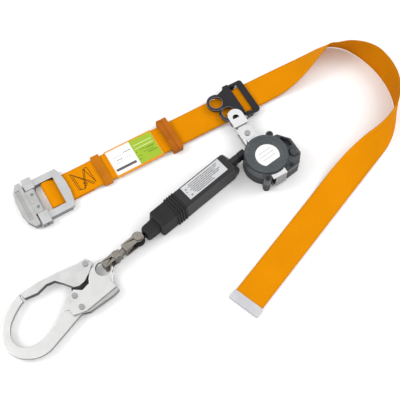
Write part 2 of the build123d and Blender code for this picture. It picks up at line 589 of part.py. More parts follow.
def make_hook():
    core = hook_core()
    core -= rod(*GATE_PIVOT, 8.6, 13, 6.6)
    parts["hook_body"] = lanyard(core)
    coil = rod(*GATE_PIVOT, 8.9, 11.9, 6.2) - rod(*GATE_PIVOT, 8, 13, 4.4)
    parts["gate_spring"] = lanyard(coil)
    buffer_plan = [(-20, 12), (-33, -6), (-47, -8), (-58, 2), (-55, 8), (-47, 0), (-36, -1), (-27, 4),
                   (-22, 12)]
    parts["gate_buffer"] = lanyard(prism(buffer_plan, 5.4, 11.6) - core)
    cover = [(-17, 5), (-30, -6), (-45, -8), (-55, 2), (-66, -3), (-69, -13), (-79, -20), (-79, -30),
             (-60, -37.5), (-3, -37.5), (-3, -19), (-16, -11)]
    plates = None
    for z0 in (0.7, 14.3):
        plate = prism(cover, z0, z0 + 2.0, 1.0)
        plate -= rod(0, 0, 0, 20, 16.6)
        plate -= rod(*LEVER_PIVOT, 0, 20, RIVET_R + PRESS) + rod(*COVER_RIVET, 0, 20, RIVET_R + PRESS)
        plates = plate if plates is None else plates + plate
    parts["hook_side_plates"] = lanyard(plates)
    rivets = None
    for x, y in (LEVER_PIVOT, COVER_RIVET):
        rivet = rod(x, y, 0.7, 16.3, RIVET_R) + rod(x, y, 16.3, 17.8, RIVET_HEAD_R)
        rivets = rivet if rivets is None else rivets + rivet
    parts["hook_rivets"] = lanyard(rivets)
    pivot = rod(*GATE_PIVOT, 0.9, 14.2, RIVET_R) + rod(*GATE_PIVOT, 14.2, 15.8, RIVET_HEAD_R)
    pivot += rod(*GATE_PIVOT, 0.9, 2.7, RIVET_HEAD_R)
    parts["gate_rivet"] = lanyard(pivot)


def make_gate():
    outline = [(-9, 30), (-24, 31), (-55, 40.5), (-86, 47.5), (-112, 50.5), (-118.8, 51), (-117.6, 41),
               (-98, 35), (-80, 37), (-67, 33), (-60, 22), (-51, 5), (-44, 1.5), (-34, 1.5), (-20, 8),
               (-8, 16)]
    plates = prism(outline, 3.0, 4.7) + prism(outline, 12.3, 14.0)
    wall = [(-118.2, 45.5), (-117.6, 41), (-98, 35), (-80, 37), (-67, 33), (-66, 34.6), (-80, 39),
            (-98, 37), (-116, 42.6), (-116.6, 45.7)]
    spine = [(-26, 31.6), (-55, 40.5), (-86, 47.5), (-112, 50.5), (-118.8, 51), (-118.2, 45.5),
             (-116.6, 45.7), (-116.9, 48.9), (-112, 48.5), (-86, 45.5), (-55, 38.5), (-26, 29.6)]
    gate = plates + prism(spine, 3.0, 14.0) + prism(wall, 3.0, 14.0)
    gate -= rod(*GATE_PIVOT, 0, 20, RIVET_R + FIT)
    parts["hook_gate"] = lanyard(gate)


def make_safety_lever():
    flange = [(-2, -22), (-2, -43.5), (-14, -44.5), (-57, -41), (-76, -31), (-72, -24), (-62, -20.5)]
    plates = prism(flange, 2.9, 4.7) + prism(flange, 12.3, 14.1)
    spine = [(-2, -43.5), (-14, -44.5), (-57, -41), (-57, -39), (-14, -42.5), (-2, -41.5)]
    lever = plates + prism(spine, 2.9, 14.1)
    lever -= rod(*LEVER_PIVOT, 0, 20, RIVET_R + FIT)
    parts["safety_lever"] = lanyard(lever)
    coil = rod_y(-24, 8.5, -41.0, -29.9, 3.1) - rod_y(-24, 8.5, -42, -29, 2.2)
    parts["lever_spring"] = lanyard(coil)


def origin_shift():
    """Puts the origin at the middle of the whole set's base."""
    low, high = [1e9] * 3, [-1e9] * 3
    for shape in parts.values():
        box = shape.bounding_box()
        low = [min(a, b) for a, b in zip(low, (box.min.X, box.min.Y, box.min.Z))]
        high = [max(a, b) for a, b in zip(high, (box.max.X, box.max.Y, box.max.Z))]
    return -(low[0] + high[0]) / 2, -(low[1] + high[1]) / 2, -low[2]


make_belt()
make_belt_tip()
make_keepers()
make_label_sleeve()
make_buckle()
make_d_ring_plate()
make_connector()
make_load_frame()
make_housings()
make_webbing_guide()
make_drum()
make_ratchet()
make_power_spring()
make_absorber()
make_swivel()
make_hook()
make_gate()
make_safety_lever()

SHIFT = origin_shift()
os.makedirs("parts", exist_ok=True)
for name, shape in parts.items():
    export_step(Pos(*SHIFT) * shape, f"parts/{name}.step")
print(len(parts), "nodes, origin shift", [round(v, 3) for v in SHIFT])
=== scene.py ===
import math
import random

import bpy
import bmesh
import numpy as np
from mathutils import Matrix, Vector


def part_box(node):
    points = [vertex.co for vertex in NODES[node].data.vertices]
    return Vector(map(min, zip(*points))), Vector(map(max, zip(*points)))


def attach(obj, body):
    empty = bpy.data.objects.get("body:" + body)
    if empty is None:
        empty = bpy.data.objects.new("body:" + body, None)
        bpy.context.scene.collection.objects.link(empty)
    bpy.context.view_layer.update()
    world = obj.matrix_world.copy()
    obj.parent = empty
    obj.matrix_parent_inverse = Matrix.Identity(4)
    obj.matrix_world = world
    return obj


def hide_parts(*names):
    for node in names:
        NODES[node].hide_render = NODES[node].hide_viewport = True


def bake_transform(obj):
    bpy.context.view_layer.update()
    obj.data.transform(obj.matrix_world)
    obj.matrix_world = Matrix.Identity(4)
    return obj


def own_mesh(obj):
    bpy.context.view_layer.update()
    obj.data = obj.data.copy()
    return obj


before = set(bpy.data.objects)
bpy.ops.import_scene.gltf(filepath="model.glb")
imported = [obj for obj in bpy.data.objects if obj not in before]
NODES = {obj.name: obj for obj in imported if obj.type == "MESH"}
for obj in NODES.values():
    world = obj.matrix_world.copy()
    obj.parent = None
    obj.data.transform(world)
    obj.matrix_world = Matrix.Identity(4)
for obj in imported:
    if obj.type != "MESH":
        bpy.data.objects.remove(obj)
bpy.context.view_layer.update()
MM = 0.001


# ---- places, worked out from the frame ----
def middle(node):
    low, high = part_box(node)
    return (low + high) / 2


# Layout frame: X along the belt's straight half, its centre line at y = 0, table at z = 0.
KEEPER_2_X = 4.0
keeper_low, keeper_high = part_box("keeper_2")
ORIGIN = Vector((keeper_low.x - KEEPER_2_X * MM, (keeper_low.y + keeper_high.y) / 2, 0))


def place(x, y, z=0.0):
    """A point of the layout frame, given in millimetres."""
    return ORIGIN + Vector((x, y, z)) * MM


# Lanyard frame: u along the lanyard from the hook's eye towards the reel, v to its left, z up.
pin_near, pin_far = middle("shackle_pin"), middle("yoke_pin")
ALONG = Vector((pin_far.x - pin_near.x, pin_far.y - pin_near.y, 0)).normalized()
ASIDE = Vector((-ALONG.y, ALONG.x, 0))
UP = Vector((0, 0, 1))
SHACKLE_PIN_U = 27
EYE = Vector((pin_near.x, pin_near.y, 0)) - ALONG * SHACKLE_PIN_U * MM


def lanyard(u, v, z=0.0):
    """A point of the lanyard frame, given in millimetres."""
    return EYE + (ALONG * u + ASIDE * v) * MM + UP * z * MM


REEL = middle("webbing_roll")


# ---- shader building ----
class Shader:
    """A principled material whose colour, roughness and bump come from nodes in object space."""

    def __init__(self, name, **sockets):
        self.material = bpy.data.materials.new(name)
        self.material.use_nodes = True
        self.nodes = self.material.node_tree.nodes
        self.links = self.material.node_tree.links
        self.surface = self.nodes["Principled BSDF"]
        for socket, value in sockets.items():
            self.surface.inputs[socket.replace("_", " ")].default_value = value
        self.coords = self.nodes.new("ShaderNodeTexCoord").outputs["Object"]
        self.height = None

    def node(self, kind, inputs=None, **settings):
        made = self.nodes.new("ShaderNode" + kind)
        for key, value in settings.items():
            setattr(made, key, value)
        for key, value in (inputs or {}).items():
            if isinstance(value, bpy.types.NodeSocket):
                self.links.new(value, made.inputs[key])
            else:
                made.inputs[key].default_value = value
        return made

    def math(self, operation, a, b=0.0):
        return self.node("Math", {0: a, 1: b}, operation=operation).outputs[0]

    def turned(self, angle=0.0, stretch=(1, 1, 1)):
        """Object coordinates turned about Z, then stretched."""
        turn = self.node("Mapping", {"Vector": self.coords, "Rotation": (0, 0, angle)})
        return self.node("Mapping", {"Vector": turn.outputs[0], "Scale": stretch}).outputs[0]

    def noise(self, scale, detail, coords=None):
        inputs = {"Vector": coords or self.coords, "Scale": scale, "Detail": detail, "Roughness": 0.55}
        return self.node("TexNoise", inputs).outputs["Fac"]

    def ramp(self, factor, *stops):
        """A colour or grey ramp through (position, colour) stops."""
        made = self.node("ValToRGB", {0: factor})
        ramp = made.color_ramp
        while len(ramp.elements) < len(stops):
            ramp.elements.new(0.5)
        for element, (position, colour) in zip(ramp.elements, stops):
            element.position = position
            element.color = (*colour, 1) if len(colour) == 3 else colour
        return made.outputs[0]

    def mix(self, factor, a, b):
        made = self.node("Mix", data_type="RGBA")
        for index, value in ((0, factor), (6, a), (7, b)):
            if isinstance(value, bpy.types.NodeSocket):
                self.links.new(value, made.inputs[index])
            else:
                made.inputs[index].default_value = value if index == 0 else (*value, 1)
        return made.outputs[2]

    def set(self, socket, output):
        self.links.new(output, self.surface.inputs[socket])

    def rough(self, factor, low, high):
        inputs = {"Value": factor, "To Min": low, "To Max": high}
        self.set("Roughness", self.node("MapRange", inputs).outputs[0])

    def bump(self, height, distance, strength=1.0):
        """Adds a layer of bump: height times distance, in metres."""
        inputs = {"Height": height, "Distance": distance, "Strength": strength}
        if self.height is not None:
            inputs["Normal"] = self.height
        self.height = self.node("Bump", inputs).outputs[0]
        self.set("Normal", self.height)


def shade(colour, factor):
    return tuple(c * factor for c in colour)


def edge_wear(shader, colour, worn, amount=0.5):
    """Lightens a colour where the surface is sharply convex."""
    point = shader.node("NewGeometry").outputs["Pointiness"]
    mask = shader.ramp(point, (0.52, (0, 0, 0)), (0.60, (amount,) * 3))
    return shader.mix(mask, colour, worn)


def moulded(name, colour, roughness=0.45, grain=0.00006, worn=None, **sockets):
    """Moulded plastic: a fine spark-eroded grain, slight shade changes and paler rubbed edges."""
    s = Shader(name, **sockets)
    blotch = s.noise(38, 5)
    base = s.ramp(blotch, (0.35, shade(colour, 0.85)), (0.65, shade(colour, 1.15)))
    s.set("Base Color", edge_wear(s, base, worn or shade(colour, 1.6), 0.35))
    s.rough(s.noise(300, 3), roughness - 0.08, roughness + 0.10)
    s.bump(s.noise(2600, 2), grain, 0.55)
    return s.material


def metal(name, colour, roughness=0.28, brush=0.0, angle=0.0, dents=0.00012, stain=0.88, side_shade=1.0):
    """Metal: brushed or tumbled faces with faint handling marks; faces that stand up from the table are
    painted darker than the top, as painted shade.
    """
    s = Shader(name, Metallic=1.0)
    tone = s.noise(55, 6)
    face = s.ramp(tone, (0.30, shade(colour, stain)), (0.62, colour))
    # painted shade: faces whose normal lies near level take a darker copy of the colour, scaled by
    # side_shade
    if side_shade < 1.0:
        normal = s.node("TexCoord").outputs["Normal"]
        level = s.math("ABSOLUTE", s.node("SeparateXYZ", {0: normal}).outputs[2])
        shaded_sides = s.ramp(tone, (0.30, shade(colour, side_shade * 0.8)), (0.62, shade(colour, side_shade)))
        face = s.mix(s.ramp(level, (0.35, (0, 0, 0)), (0.85, (1, 1, 1))), shaded_sides, face)
    s.set("Base Color", face)
    s.rough(s.noise(190, 6), roughness - 0.07, roughness + 0.12)
    s.bump(s.noise(120, 3), dents, 0.5)
    if brush:
        streaks = s.noise(900, 3, s.turned(angle, (0.05, 1.0, 0.6)))
        s.bump(streaks, brush, 0.7)
    return s.material


def painted(name, colour, roughness):
    """Stoved paint on steel: a thick glossy coat with slight orange peel. Also used for the pale wires of
    painted highlight round the plate's eyes.
    """
    s = Shader(name, Specular_IOR_Level=0.35)
    s.set("Base Color", s.ramp(s.noise(70, 5), (0.3, shade(colour, 0.8)), (0.7, shade(colour, 1.3))))
    s.rough(s.noise(240, 4), roughness, roughness + 0.14)
    s.bump(s.noise(650, 2), 0.00008, 0.5)
    return s.material


def webbing(name, colour, dark, rib=1.5, column=3.1, relief=0.00022):
    """Woven webbing: crosswise picks and lengthwise cords from the strip's own run and width, with painted
    shade in the grooves between them.
    """
    s = Shader(name, Specular_IOR_Level=0.03)
    run = s.node("UVMap", uv_map="Strip").outputs[0]
    axes = s.node("SeparateXYZ", {0: run}).outputs
    along, across = axes[0], axes[1]
    cord = s.math("MULTIPLY", across, 1000 / column)
    cord_place = s.math("PINGPONG", cord, 0.5)
    slant = s.math("MULTIPLY", cord_place, 1.6)
    pick = s.math("ADD", s.math("MULTIPLY", along, 1000 / rib), slant)
    wave = s.math("SINE", s.math("MULTIPLY", pick, 2 * math.pi))
    wave = s.math("ADD", s.math("MULTIPLY", wave, 0.5), 0.5)
    groove = s.math("MINIMUM", s.math("MULTIPLY", cord_place, 5.0), 1.0)
    height = s.math("MULTIPLY", wave, groove)
    fuzz = s.noise(2200, 3)
    long_noise = s.noise(14, 3)
    # painted shade: the weave's low points, where the bump sinks, take the dark colour
    shaded_weave = s.ramp(height, (0.0, dark), (0.55, colour))
    worn = s.ramp(long_noise, (0.35, (0.93, 0.93, 0.93)), (0.65, (1, 1, 1)))
    blend = s.node("Mix", data_type="RGBA", blend_type="MULTIPLY")
    blend.inputs[0].default_value = 1.0
    s.links.new(shaded_weave, blend.inputs[6])
    s.links.new(worn, blend.inputs[7])
    s.set("Base Color", blend.outputs[2])
    s.rough(fuzz, 0.62, 0.86)
    s.bump(height, relief, 0.7)
    s.bump(fuzz, 0.00005, 0.5)
    return s.material


ORANGE = (0.83, 0.305, 0.0008)
# painted shade for the grooves of the belt's weave
ORANGE_GROOVE_SHADE = (0.62, 0.195, 0.0008)
# painted shade: the belt's back face is the same webbing as the front, painted darker
ORANGE_BACK_SHADED = (0.72, 0.235, 0.0008)
SLATE = (0.038, 0.045, 0.049)
NICKEL = (0.36, 0.335, 0.295)
SILVER = (0.80, 0.80, 0.79)

BELT_FACE = webbing("belt_face", ORANGE, ORANGE_GROOVE_SHADE)
BELT_BACK_SHADED = webbing("belt_back_shaded", ORANGE_BACK_SHADED, shade(ORANGE_BACK_SHADED, 0.6))
BLACK_WEB = webbing("black_web", (0.030, 0.030, 0.031), (0.008, 0.008, 0.009), rib=1.1, column=2.2)
GREY_WEB = webbing("grey_web", (0.20, 0.20, 0.19), (0.07, 0.07, 0.07), rib=1.3, column=2.4)
THREAD = moulded("thread", (0.040, 0.030, 0.008), 0.8, grain=0.0001, Specular_IOR_Level=0.1)
BUCKLE_METAL = metal("buckle_metal", (0.66, 0.665, 0.67), 0.38, brush=0.00003, side_shade=0.45)
LEVER_METAL = metal("lever_metal", (0.57, 0.57, 0.56), 0.40, brush=0.00004, angle=math.pi / 2, side_shade=0.45)
GRIP_METAL = metal("grip_metal", (0.47, 0.47, 0.46), 0.46, brush=0.00012, angle=math.pi / 2,
                   dents=0.0004)
PIN_STEEL = metal("pin_steel", (0.46, 0.46, 0.47), 0.25, side_shade=0.3)
# real dark steel for the housing screws; on the bracket's slit it is painted shade
DARK_STEEL_AND_SLIT_SHADE = metal("dark_steel_and_slit_shade", (0.045, 0.045, 0.05), 0.35)
CLIP_STEEL = metal("clip_steel", (0.72, 0.72, 0.75), 0.30, brush=0.00004, angle=math.radians(22),
                   side_shade=0.6)
BRIGHT = metal("bright_steel", (0.92, 0.92, 0.93), 0.14, dents=0.00003, stain=0.95, side_shade=0.30)
FRAME_STEEL = metal("frame_steel", (0.86, 0.86, 0.87), 0.22, brush=0.000004, angle=math.pi / 2,
                    dents=0.00002, stain=0.94, side_shade=0.35)
NICKEL_METAL = metal("nickel", NICKEL, 0.24, dents=0.00008, stain=0.80, side_shade=0.35)
HOOK_METAL = metal("hook_metal", SILVER, 0.30, brush=0.00002, angle=math.radians(-12), dents=0.00007,
                   stain=0.93, side_shade=0.32)
GATE_METAL = metal("gate_metal", (0.74, 0.74, 0.735), 0.33, brush=0.00002, angle=math.radians(-12),
                   side_shade=0.12)
# real dark spring steel for the springs, ratchet and pawls; on the lever's dimples it is painted shade
SPRING_METAL_AND_DIMPLE_SHADE = metal("spring_metal_and_dimple_shade", (0.34, 0.35, 0.37), 0.30)
BRONZE = metal("bronze", (0.55, 0.36, 0.16), 0.35)
ALLOY = metal("alloy", (0.60, 0.61, 0.62), 0.4, brush=0.00005)
BLACK_PAINT = painted("black_paint", (0.010, 0.010, 0.014), 0.16)
# painted highlight: pale purple-grey for the wires along the plate's eye rims, standing in for light caught
# on their edges
RIM_HIGHLIGHT = painted("rim_highlight", (0.26, 0.24, 0.29), 0.2)
KEEPER = moulded("keeper_plastic", (0.45, 0.142, 0.003), 0.50, Specular_IOR_Level=0.12)
KEEPER_DARK = moulded("keeper_dark", (0.36, 0.10, 0.004), 0.50, Specular_IOR_Level=0.12)
HOUSING = moulded("housing_plastic", SLATE, 0.36, grain=0.00005, worn=(0.10, 0.11, 0.115))
COVER_PLASTIC = moulded("cover_plastic", shade(SLATE, 1.45), 0.28, grain=0.00004,
                        worn=(0.14, 0.15, 0.155))
DARK_HOUSING = moulded("dark_housing", (0.012, 0.013, 0.014), 0.42, Specular_IOR_Level=0.3)
COVER_BLACK = moulded("cover_black", (0.022, 0.0215, 0.023), 0.44, grain=0.00008,
                      worn=(0.05, 0.05, 0.05), Specular_IOR_Level=0.3)
# real rubber for the boots; on gate_buffer it is painted shade, a black strip in the gap between the gate
# and the hook's body
RUBBER_AND_GAP_SHADE = moulded("rubber_and_gap_shade", (0.017, 0.0165, 0.018), 0.62, grain=0.0001, worn=(0.04, 0.04, 0.04),
                 Specular_IOR_Level=0.25)


def film(name, colour, streak):
    """A printed label film: satin, faintly mottled, with a slight wrinkle."""
    s = Shader(name, Coat_Weight=0.15, Coat_Roughness=0.25, Specular_IOR_Level=0.3)
    s.set("Base Color", s.ramp(s.noise(60, 4), (0.3, shade(colour, streak)), (0.7, colour)))
    s.rough(s.noise(120, 3), 0.30, 0.45)
    s.bump(s.noise(45, 2), 0.0003, 0.35)
    return s.material


WHITE_FILM = film("white_film", (0.88, 0.88, 0.86), 0.95)
GREEN_FILM = film("green_film", (0.34, 0.50, 0.022), 0.92)
GREY_FILM = film("grey_film", (0.58, 0.59, 0.60), 0.94)
INK = film("ink", (0.075, 0.06, 0.07), 0.8)
INK_GREY = film("ink_grey", (0.26, 0.26, 0.28), 0.85)
GREEN_INK = film("green_ink", (0.13, 0.26, 0.010), 0.9)
PALE_INK = film("pale_ink", (0.86, 0.92, 0.62), 0.95)
INK_PALE = film("ink_pale", (0.56, 0.52, 0.58), 0.85)


def clear_film():
    """Clear sleeve over the belt, tinted by the webbing behind it."""
    s = Shader("clear_sleeve", Coat_Weight=0.2, Coat_Roughness=0.1, Specular_IOR_Level=0.3)
    s.set("Base Color", s.ramp(s.noise(50, 4), (0.3, shade(ORANGE, 0.85)), (0.7, ORANGE)))
    s.rough(s.noise(90, 3), 0.22, 0.38)
    s.bump(s.noise(35, 2), 0.0004, 0.35)
    return s.material


CLEAR = clear_film()


# ---- mesh building ----
def add_mesh(name, verts, faces, material, smooth=True):
    """Makes an object from vertices and faces."""
    mesh = bpy.data.meshes.new(name)
    mesh.from_pydata([tuple(v) for v in verts], [], faces)
    mesh.materials.append(material)
    mesh.update()
    mesh.polygons.foreach_set("use_smooth", [smooth] * len(mesh.polygons))
    obj = bpy.data.objects.new(name, mesh)
    bpy.context.scene.collection.objects.link(obj)
    return obj


def finish_mesh(name, bm, material):
    """Turns a bmesh into a smooth-shaded object."""
    bmesh.ops.recalc_face_normals(bm, faces=bm.faces)
    mesh = bpy.data.meshes.new(name)
    bm.to_mesh(mesh)
    bm.free()
    mesh.materials.append(material)
    mesh.polygons.foreach_set("use_smooth", [True] * len(mesh.polygons))
    obj = bpy.data.objects.new(name, mesh)
    bpy.context.scene.collection.objects.link(obj)
    return obj


def soften(obj, width, segments):
    """Rounds an object's sharp edges by a width in millimetres, with its split vertices joined first."""
    weld = obj.modifiers.new("join", "WELD")
    weld.merge_threshold = 0.000004
    bevel = obj.modifiers.new("round", "BEVEL")
    bevel.width = width * MM
    bevel.segments = segments
    bevel.limit_method = "ANGLE"
    bevel.angle_limit = math.radians(32)
    bevel.miter_outer = "MITER_ARC"
    bevel.use_clamp_overlap = True
    bevel.harden_normals = False
    obj.data.polygons.foreach_set("use_smooth", [True] * len(obj.data.polygons))
    normals = obj.modifiers.new("normals", "WEIGHTED_NORMAL")
    normals.keep_sharp = True


def strip(name, stations, width, thickness, face, back, across=10):
    """A closed woven strip. Each station is (centre, crosswise unit, face normal unit). The strip's
    run and width go into its UVs in metres."""
    half, t = width / 2, thickness / 2
    lanes = [-half + width * i / across for i in range(across + 1)]
    outline = [(w, t if 0 < i < across else t * 0.45) for i, w in enumerate(lanes)]
    outline += [(w, -t if 0 < i < across else -t * 0.45)
                for i, w in reversed(list(enumerate(lanes)))]
    count = len(outline)
    verts, runs, run, last = [], [], 0.0, stations[0][0]
    for centre, side, normal in stations:
        run += (centre - last).length
        last = centre
        runs.append(run)
        verts += [centre + side * w + normal * h for w, h in outline]
    faces, uvs, backs = [], [], []
    for i in range(len(stations) - 1):
        for j in range(count):
            k = (j + 1) % count
            faces.append((i * count + j, i * count + k, (i + 1) * count + k, (i + 1) * count + j))
            wj, wk = outline[j][0], outline[k][0]
            uvs += [(runs[i], wj), (runs[i], wk), (runs[i + 1], wk), (runs[i + 1], wj)]
            backs.append(j > across)
    for cap, order in ((0, 1), (len(stations) - 1, -1)):
        ring = list(range(cap * count, (cap + 1) * count))[::order]
        faces.append(tuple(ring))
        uvs += [(runs[cap], outline[v - cap * count][0]) for v in ring]
        backs.append(False)
    obj = add_mesh(name, verts, faces, face)
    obj.data.materials.append(back)
    layer = obj.data.uv_layers.new(name="Strip")
    layer.data.foreach_set("uv", [c for uv in uvs for c in uv])
    obj.data.polygons.foreach_set("material_index", [int(b) for b in backs])
    bm = bmesh.new()
    bm.from_mesh(obj.data)
    bmesh.ops.recalc_face_normals(bm, faces=bm.faces)
    bm.to_mesh(obj.data)
    bm.free()
    return obj, runs[-1]


def tube_path(points, radius, name, material):
    """A round wire through points."""
    curve = bpy.data.curves.new(name, "CURVE")
    curve.dimensions = "3D"
    curve.bevel_depth = radius
    curve.bevel_resolution = 2
    curve.use_fill_caps = True
    spline = curve.splines.new("POLY")
    spline.points.add(len(points) - 1)
    for p, at in zip(spline.points, points):
        p.co = (*at, 1)
    curve.materials.append(material)
    temp = bpy.data.objects.new(name, curve)
    mesh = bpy.data.meshes.new_from_object(temp)
    mesh.name = name
    bpy.data.objects.remove(temp)
    mesh.polygons.foreach_set("use_smooth", [True] * len(mesh.polygons))
    obj = bpy.data.objects.new(name, mesh)
    bpy.context.scene.collection.objects.link(obj)
    return obj


def stitches(name, lines, lift, pitch, thread, rise):
    """Lockstitches along polylines: one short rounded thread per stitch. The lift above the line, the
    pitch and the thread's half width are in millimetres, and rise is its height against its width."""
    bm = bmesh.new()
    for line in lines:
        for a, b in zip(line, line[1:]):
            span = (b - a).length
            count = max(1, round(span / (pitch * MM)))
            step = (b - a) / count
            for i in range(count):
                centre = a + step * (i + 0.5) + UP * lift * MM
                turn = step.to_track_quat("X", "Z").to_matrix().to_4x4()
                size = Matrix.Diagonal((step.length * 0.46, thread * MM, thread * MM * rise, 1))
                bmesh.ops.create_uvsphere(bm, u_segments=8, v_segments=6, radius=1,
                                          matrix=Matrix.Translation(centre) @ turn @ size)
    return finish_mesh(name, bm, THREAD)


# ---- belt ----
BELT_W, BELT_T = 50.0, 2.6
BELT_Z, TAIL_Z = 3.4, 1.0           # heights of the straight half and of the tail
SETTLE_RUN = 90                     # run over which it comes down from one to the other
CROSSBAR = (-207.0, 5.9)            # x and z of the buckle's bar
WRAP_R = 4.0
FOLD_END_X = -138
RAMP_START, RAMP_RUN = 3, 16        # where it comes down from the bar, measured from the bar
FLAT_START_X, FLAT_END_X = -184, 196
TURN_START_X, TURN_X = 200.0, 318.0
TURN_ARCS = ((60.0, 65.0), (160.0, 35.0), (130.0, 58.0))        # (radius, degrees)
TILT_RISES = ((63.0, 0, 150), (37.0, 150, 90))                  # (degrees, from, over)
TILT_FALL_START, TILT_FALL_RUN = 255, 310
TAIL_LENGTH = 353.0
STATION_STEP = 3.0


def smooth(t):
    """Eases from 0 to 1."""
    t = min(max(t, 0.0), 1.0)
    return t * t * (3 - 2 * t)


def turn_point(travelled):
    """Outer edge point and heading, travelled millimetres after the turn's start."""
    x, y, heading = TURN_START_X, BELT_W / 2, 0.0
    run = min(travelled, TURN_X - TURN_START_X)
    x += run
    travelled -= run
    for radius, sweep in TURN_ARCS:
        turn = min(math.degrees(travelled / radius), sweep)
        if turn <= 0:
            return x, y, heading
        middle_way = math.radians(heading - turn / 2)
        chord = 2 * radius * math.sin(math.radians(turn) / 2)
        x, y = x + chord * math.cos(middle_way), y + chord * math.sin(middle_way)
        heading -= turn
        travelled -= math.radians(turn) * radius
    way = math.radians(heading)
    return x + travelled * math.cos(way), y + travelled * math.sin(way), heading


TURN_RUN = TURN_X - TURN_START_X + sum(r * math.radians(a) for r, a in TURN_ARCS)


def belt_stations():
    """Stations from the stitched end, round the buckle's bar, along the straight half and round to
    the tip."""
    side = Vector((0, 1, 0))
    stations = []
    bar_x, bar_z = CROSSBAR
    low = bar_z - WRAP_R
    for x in np.linspace(FOLD_END_X, bar_x, 24):
        stations.append((place(x, 0, low), side, Vector((0, 0, -1))))
    for angle in np.linspace(0, 180, 19)[1:]:
        a = math.radians(-90 - angle)
        out = Vector((math.cos(a), 0, math.sin(a)))
        stations.append((place(bar_x + WRAP_R * out.x, 0, bar_z + WRAP_R * out.z), side, out))
    top, rest = bar_z + WRAP_R, BELT_Z + BELT_T / 2
    for t in np.linspace(0, 1, 10)[1:]:
        x = bar_x + RAMP_START + RAMP_RUN * t
        drop = smooth(t)
        slope = math.atan2((rest - top) * 6 * t * (1 - t), RAMP_RUN)
        normal = Vector((-math.sin(slope), 0, math.cos(slope)))
        stations.append((place(x, 0, top + (rest - top) * drop), side, normal))
    for x in np.linspace(FLAT_START_X, FLAT_END_X, 191):
        stations.append((place(x, 0, rest), side, UP))
    for travelled in np.arange(0, TURN_RUN + TAIL_LENGTH, STATION_STEP):
        x, y, heading = turn_point(travelled)
        tilt = tilt_at(travelled)
        drop = smooth(travelled / SETTLE_RUN)
        edge_z = BELT_Z * (1 - drop) + TAIL_Z * drop + BELT_T / 2 * math.cos(tilt)
        way = math.radians(heading)
        inward = Vector((math.sin(way), -math.cos(way), 0))
        across = inward * math.cos(tilt) + UP * math.sin(tilt)
        forward = Vector((math.cos(way), math.sin(way), 0))
        normal = forward.cross(-across).normalized()
        stations.append((place(x, y, edge_z) + across * (BELT_W / 2 * MM), -across, normal))
    return stations


def tilt_at(travelled):
    """How far the belt is turned up onto its outer edge, in radians."""
    rise = sum(angle * smooth((travelled - start) / over) for angle, start, over in TILT_RISES)
    fall = smooth((travelled - TILT_FALL_START) / TILT_FALL_RUN)
    return math.radians(rise * (1 - fall))


belt, belt_run = strip("belt_strip", belt_stations(), (BELT_W - 0.4) * MM, 2.3 * MM,
                       BELT_FACE, BELT_BACK_SHADED, 12)
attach(belt, "belt")
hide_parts("belt_webbing", "belt_fold")


def belt_seam():
    """The N of dark thread, sewn twice over, that holds the belt's folded end."""
    x0, x1, y0, y1 = -163.0, -129.5, -17.5, 18.5
    post, foot = [(x0, y1), (x0 + 2, y0 + 3)], (x0 + 11, y0)
    runs = [
        post, [(x0 + 3, y1 - 2), (x0 + 5, y0 + 1)],
        [(x0 + 2, y0 + 3), foot, (x1 - 10, y1 - 2), (x1 - 1, y0 + 3)],
        [(x0 + 14, y0 + 4), (x1 - 7, y1 - 1), (x1 - 2, y1 - 3)],
        [(x0 + 1, y1 - 1), (x1 - 3, y0 + 2)], [(x0 + 5, y1 - 6), (x1 - 6, y0 + 1)],
        [(x1 - 1, y0 + 3), (x1 - 3, y1 - 4)], [foot, (x0 + 19, y0 + 8), (x0 + 12, y0 + 11)],
    ]
    lines = [[place(x, y, BELT_Z + BELT_T - 0.1) for x, y in run] for run in runs]
    seam = stitches("belt_seam", lines, lift=0.2, pitch=3.6, thread=0.62, rise=0.25)
    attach(seam, "belt")


belt_seam()


